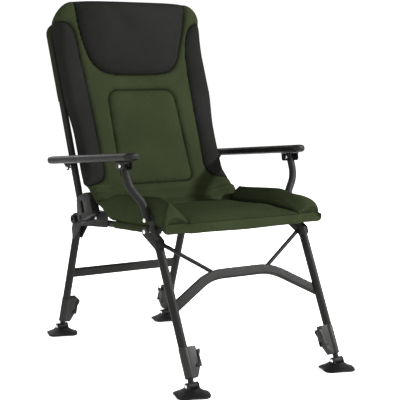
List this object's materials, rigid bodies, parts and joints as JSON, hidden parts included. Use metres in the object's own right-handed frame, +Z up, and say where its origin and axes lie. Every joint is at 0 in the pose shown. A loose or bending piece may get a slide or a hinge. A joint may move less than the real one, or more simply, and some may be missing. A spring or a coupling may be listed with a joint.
{
  "type": "folding fishing chair",
  "caption": "Folding fishing chair with padded cushion, flat armrests that stay parallel to the seat, telescopic legs with cam clamps and swivelling mud feet.",
  "frame": {"origin": "on the floor, in the middle of the four feet", "axes": "+Z up, the sitter faces -Y, +X is on the right as seen from in front, and X = 0 is the plane of symmetry"},
  "size_m": [0.612, 0.934, 1.0453],
  "materials": {
    "powder_coat": "dark grey satin powder coat on steel",
    "black_plastic": "black moulded plastic with a fine grain",
    "zinc_rivet": "bright zinc plated steel",
    "green_cloth": "dark olive green woven polyester",
    "grey_cloth": "charcoal woven polyester",
    "foot_rubber": "black moulded rubber-like plastic"
  },
  "bodies": {
    "seat": {"seat_pad": "green_cloth", "waist_pad": "green_cloth", "seat_bar_left": "powder_coat", "seat_bar_right": "powder_coat", "seat_sleeve_left": "green_cloth", "seat_sleeve_right": "green_cloth", "front_bracket_left": "powder_coat", "front_bracket_right": "powder_coat", "rear_bracket_left": "powder_coat", "rear_bracket_right": "powder_coat", "front_leg_rivet_left": "zinc_rivet", "front_leg_rivet_right": "zinc_rivet", "support_rivet_left": "zinc_rivet", "support_rivet_right": "zinc_rivet", "rear_leg_bolt_left": "black_plastic", "rear_leg_bolt_right": "black_plastic", "back_hinge_bolt_left": "powder_coat", "back_hinge_bolt_right": "powder_coat"},
    "backrest": {"back_frame": "powder_coat", "back_pad": "green_cloth", "head_pillow": "grey_cloth", "back_pocket": "green_cloth", "back_hinge_housing_left": "black_plastic", "back_hinge_housing_right": "black_plastic", "arm_rear_pin_left": "zinc_rivet", "arm_rear_pin_right": "zinc_rivet"},
    "armrest_left": {"armrest_left": "black_plastic", "arm_bracket_left": "black_plastic"},
    "arm_support_left": {"arm_support_left": "powder_coat"},
    "armrest_right": {"armrest_right": "black_plastic", "arm_bracket_right": "black_plastic"},
    "arm_support_right": {"arm_support_right": "powder_coat"},
    "front_legs": {"front_cross_bar": "powder_coat", "front_leg_left": "powder_coat", "front_leg_right": "powder_coat", "front_gusset_left": "powder_coat", "front_gusset_right": "powder_coat", "front_strut_left": "powder_coat", "front_strut_right": "powder_coat", "front_clamp_left": "black_plastic", "front_clamp_right": "black_plastic"},
    "rear_legs": {"rear_cross_bar": "powder_coat", "rear_leg_left": "powder_coat", "rear_leg_right": "powder_coat", "rear_gusset_left": "powder_coat", "rear_gusset_right": "powder_coat", "rear_clamp_left": "black_plastic", "rear_clamp_right": "black_plastic"},
    "front_inner_leg_left": {"front_inner_leg_left": "powder_coat"},
    "front_mud_foot_left": {"front_mud_foot_left": "foot_rubber"},
    "front_clamp_lever_left": {"front_clamp_lever_left": "black_plastic"},
    "front_inner_leg_right": {"front_inner_leg_right": "powder_coat"},
    "front_mud_foot_right": {"front_mud_foot_right": "foot_rubber"},
    "front_clamp_lever_right": {"front_clamp_lever_right": "black_plastic"},
    "rear_inner_leg_left": {"rear_inner_leg_left": "powder_coat"},
    "rear_mud_foot_left": {"rear_mud_foot_left": "foot_rubber"},
    "rear_clamp_lever_left": {"rear_clamp_lever_left": "black_plastic"},
    "rear_inner_leg_right": {"rear_inner_leg_right": "powder_coat"},
    "rear_mud_foot_right": {"rear_mud_foot_right": "foot_rubber"},
    "rear_clamp_lever_right": {"rear_clamp_lever_right": "black_plastic"}
  },
  "joints": [
    {"name": "back_hinge", "type": "hinge", "parent": "seat", "child": "backrest", "pos_m": [0, 0.164, 0.404], "axis": [1, 0, 0], "range_deg": [-25, 60], "deforming": ["waist_pad"]},
    {"name": "armrest_left_pivot", "type": "hinge", "parent": "backrest", "child": "armrest_left", "pos_m": [-0.265, 0.218, 0.549], "axis": [1, 0, 0], "range_deg": [-60, 25]},
    {"name": "arm_support_left_pivot", "type": "hinge", "parent": "seat", "child": "arm_support_left", "pos_m": [-0.2443, -0.195, 0.435], "axis": [1, 0, 0], "range_deg": [-25, 60]},
    {"name": "armrest_right_pivot", "type": "hinge", "parent": "backrest", "child": "armrest_right", "pos_m": [0.265, 0.218, 0.549], "axis": [1, 0, 0], "range_deg": [-60, 25]},
    {"name": "arm_support_right_pivot", "type": "hinge", "parent": "seat", "child": "arm_support_right", "pos_m": [0.2443, -0.195, 0.435], "axis": [1, 0, 0], "range_deg": [-25, 60]},
    {"name": "front_legs_fold", "type": "hinge", "parent": "seat", "child": "front_legs", "pos_m": [0, -0.2, 0.405], "axis": [1, 0, 0], "range_deg": [0, 104]},
    {"name": "rear_legs_fold", "type": "hinge", "parent": "seat", "child": "rear_legs", "pos_m": [0, 0.25, 0.389], "axis": [-1, 0, 0], "range_deg": [0, 96]},
    {"name": "front_inner_leg_left_slide", "type": "slide", "parent": "front_legs", "child": "front_inner_leg_left", "axis": [0, -0.4168, -0.909], "range_m": [0, 0.15]},
    {"name": "front_mud_foot_left_swivel", "type": "hinge", "parent": "front_inner_leg_left", "child": "front_mud_foot_left", "pos_m": [-0.2443, -0.413, 0.026], "axis": [1, 0, 0], "range_deg": [-25, 25]},
    {"name": "front_clamp_lever_left_cam", "type": "hinge", "parent": "front_legs", "child": "front_clamp_lever_left", "pos_m": [-0.2173, -0.39216, 0.07145], "axis": [0, 0.909, -0.4168], "range_deg": [0, 80]},
    {"name": "front_inner_leg_right_slide", "type": "slide", "parent": "front_legs", "child": "front_inner_leg_right", "axis": [0, -0.4168, -0.909], "range_m": [0, 0.15]},
    {"name": "front_mud_foot_right_swivel", "type": "hinge", "parent": "front_inner_leg_right", "child": "front_mud_foot_right", "pos_m": [0.2443, -0.413, 0.026], "axis": [1, 0, 0], "range_deg": [-25, 25]},
    {"name": "front_clamp_lever_right_cam", "type": "hinge", "parent": "front_legs", "child": "front_clamp_lever_right", "pos_m": [0.2173, -0.39216, 0.07145], "axis": [0, -0.909, 0.4168], "range_deg": [0, 80]},
    {"name": "rear_inner_leg_left_slide", "type": "slide", "parent": "rear_legs", "child": "rear_inner_leg_left", "axis": [0, 0.3285, -0.9445], "range_m": [0, 0.15]},
    {"name": "rear_mud_foot_left_swivel", "type": "hinge", "parent": "rear_inner_leg_left", "child": "rear_mud_foot_left", "pos_m": [-0.1952, 0.413, 0.026], "axis": [1, 0, 0], "range_deg": [-25, 25]},
    {"name": "rear_clamp_lever_left_cam", "type": "hinge", "parent": "rear_legs", "child": "rear_clamp_lever_left", "pos_m": [-0.1682, 0.39657, 0.07322], "axis": [0, 0.9445, 0.3285], "range_deg": [0, 80]},
    {"name": "rear_inner_leg_right_slide", "type": "slide", "parent": "rear_legs", "child": "rear_inner_leg_right", "axis": [0, 0.3285, -0.9445], "range_m": [0, 0.15]},
    {"name": "rear_mud_foot_right_swivel", "type": "hinge", "parent": "rear_inner_leg_right", "child": "rear_mud_foot_right", "pos_m": [0.1952, 0.413, 0.026], "axis": [1, 0, 0], "range_deg": [-25, 25]},
    {"name": "rear_clamp_lever_right_cam", "type": "hinge", "parent": "rear_legs", "child": "rear_clamp_lever_right", "pos_m": [0.1682, 0.39657, 0.07322], "axis": [0, -0.9445, -0.3285], "range_deg": [0, 80]}
  ],
  "couplings": [
    {"joint": "armrest_left_pivot", "follows": "back_hinge", "ratio": -1},
    {"joint": "arm_support_left_pivot", "follows": "back_hinge", "ratio": 1},
    {"joint": "armrest_right_pivot", "follows": "back_hinge", "ratio": -1},
    {"joint": "arm_support_right_pivot", "follows": "back_hinge", "ratio": 1}
  ]
}
